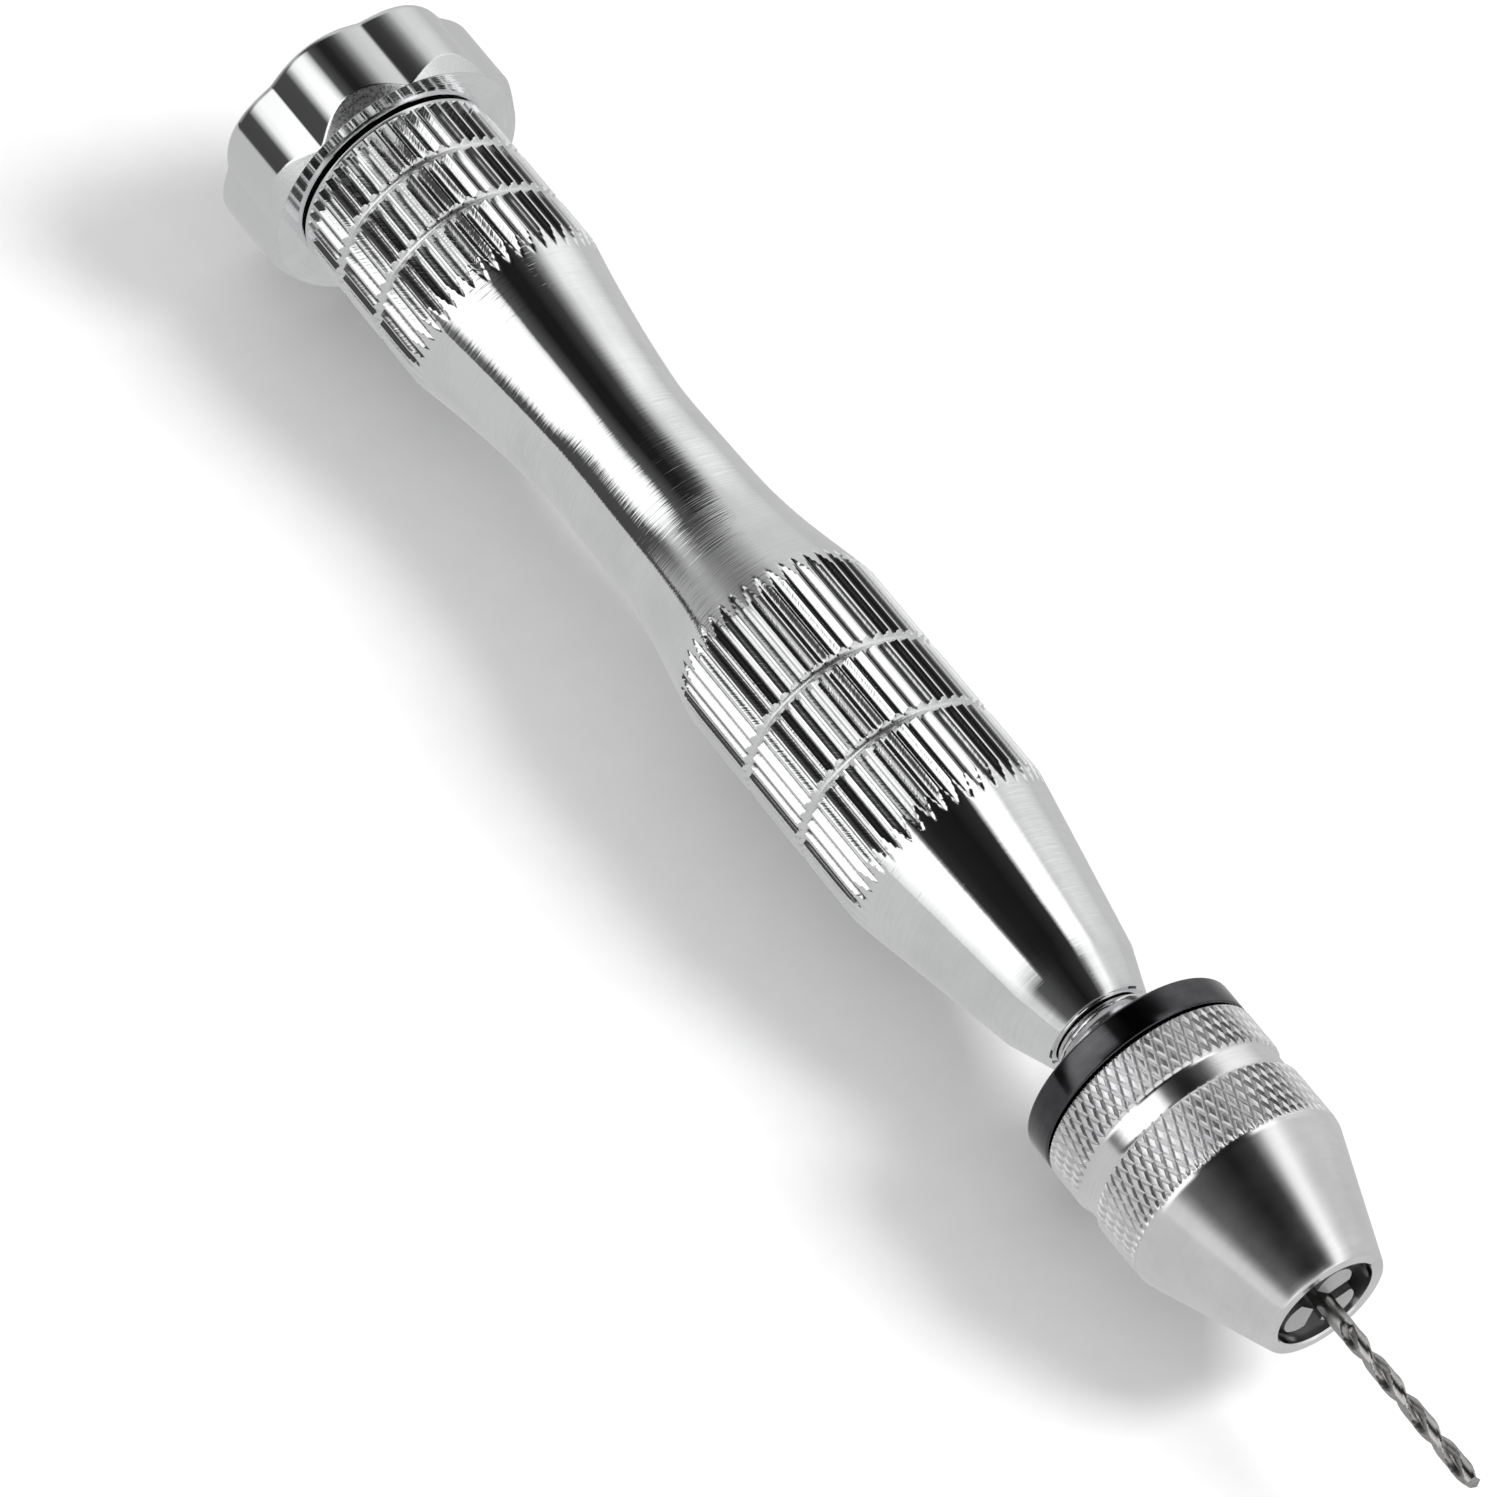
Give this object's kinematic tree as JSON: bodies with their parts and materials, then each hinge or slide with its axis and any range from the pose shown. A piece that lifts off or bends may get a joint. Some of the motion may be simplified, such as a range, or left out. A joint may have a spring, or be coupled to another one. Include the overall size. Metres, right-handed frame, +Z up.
{
  "type": "pin vise drill",
  "caption": "Hand-turned pin vise drill: waisted knurled handle, freely turning lobed palm cap and a small keyless chuck holding a twist drill.",
  "frame": {"origin": "middle of the tool's length and width, on the surface that it lies on", "axes": "+X along the tool's axis from the palm cap to the drill's point, +Z up, tool lying on its side"},
  "size_m": [0.1182, 0.0182, 0.0182],
  "materials": {
    "polished_aluminium": "bright turned and polished aluminium with fine turning marks",
    "chrome_plate": "bright chrome plate over diamond knurling",
    "black_chrome": "dark glossy black chrome",
    "jaw_steel": "ground, satin hardened steel",
    "bearing_steel": "turned steel",
    "high_speed_steel": "ground high speed steel",
    "brass": "turned brass",
    "nylon": "moulded nylon"
  },
  "bodies": {
    "handle": {"handle": "polished_aluminium", "pivot_screw": "bearing_steel", "wave_washer": "bearing_steel", "thrust_washer": "nylon", "chuck_stud": "bearing_steel", "chuck_body": "bearing_steel", "rear_ring": "black_chrome", "race_rear": "bearing_steel"},
    "cap": {"swivel_cap": "polished_aluminium", "cap_disc": "polished_aluminium", "pivot_bush": "brass"},
    "sleeve": {"chuck_sleeve": "chrome_plate", "nut_half_left": "brass", "nut_half_right": "brass", "race_front": "bearing_steel", "ball_cage": "brass", "race_ball_1": "bearing_steel", "race_ball_2": "bearing_steel", "race_ball_3": "bearing_steel", "race_ball_4": "bearing_steel", "race_ball_5": "bearing_steel", "race_ball_6": "bearing_steel", "race_ball_7": "bearing_steel", "race_ball_8": "bearing_steel"},
    "jaw_one": {"jaw_1": "jaw_steel"},
    "jaw_two": {"jaw_2": "jaw_steel"},
    "jaw_three": {"jaw_3": "jaw_steel"},
    "drill": {"drill_bit": "high_speed_steel"}
  },
  "joints": [
    {"name": "cap_swivel", "type": "hinge", "parent": "handle", "child": "cap", "pos_m": [-0.0561, 0, 0.00908], "axis": [1, 0, 0], "continuous": true},
    {"name": "sleeve_turn", "type": "hinge", "parent": "handle", "child": "sleeve", "pos_m": [0.0369, 0, 0.00908], "axis": [1, 0, 0], "range_deg": [0, 1512]},
    {"name": "jaw_one_slide", "type": "slide", "parent": "handle", "child": "jaw_one", "axis": [-0.9781, 0.0492, 0.202], "range_m": [0, 0.00421]},
    {"name": "jaw_two_slide", "type": "slide", "parent": "handle", "child": "jaw_two", "axis": [-0.9781, -0.1996, -0.0584], "range_m": [0, 0.00421]},
    {"name": "jaw_three_slide", "type": "slide", "parent": "handle", "child": "jaw_three", "axis": [-0.9781, 0.1503, -0.1436], "range_m": [0, 0.00421]},
    {"name": "drill_draw", "type": "slide", "parent": "handle", "child": "drill", "axis": [1, 0, 0], "range_m": [0, 0.024]}
  ],
  "couplings": [
    {"joint": "jaw_one_slide", "follows": "sleeve_turn", "m_per_rad": 0.00015915},
    {"joint": "jaw_two_slide", "follows": "sleeve_turn", "m_per_rad": 0.00015915},
    {"joint": "jaw_three_slide", "follows": "sleeve_turn", "m_per_rad": 0.00015915}
  ]
}
